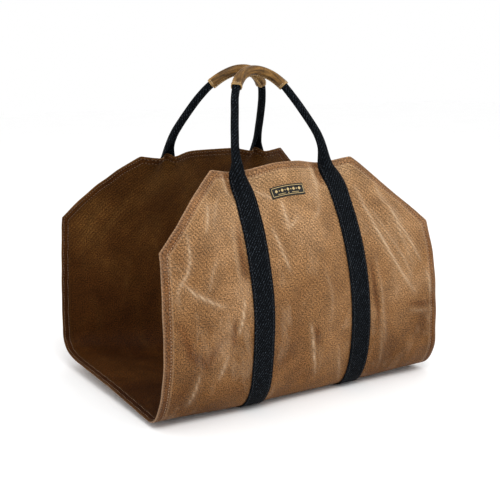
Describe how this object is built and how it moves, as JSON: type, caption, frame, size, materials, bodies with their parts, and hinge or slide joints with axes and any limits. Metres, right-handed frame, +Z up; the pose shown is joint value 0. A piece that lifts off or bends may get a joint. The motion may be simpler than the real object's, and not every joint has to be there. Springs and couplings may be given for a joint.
{
  "type": "canvas log carrier",
  "caption": "Open-ended waxed canvas sling for firewood, folded up from one sheet with cut corners, with webbing straps sewn under it that run over as leather-wrapped handles.",
  "frame": {"origin": "on the floor under the middle of the carrier", "axes": "+X along the cradle, the way the load lies, +Y towards the back panel, away from the labelled front, +Z up"},
  "size_m": [0.457, 0.3566, 0.4583],
  "materials": {
    "waxed_canvas": "waxed cotton canvas, tan brown, darker inside, pale where it is creased",
    "webbing": "heavy woven cotton webbing, near-black navy, matt",
    "grip_leather": "golden tan leather, waxed, with paler cut edges",
    "label_leather": "black leather patch with a raised border"
  },
  "bodies": {
    "root": {"canvas_sheet": "waxed_canvas", "webbing_front": "webbing", "webbing_back": "webbing", "grip_front": "grip_leather", "grip_back": "grip_leather", "label_patch": "label_leather"}
  },
  "joints": []
}
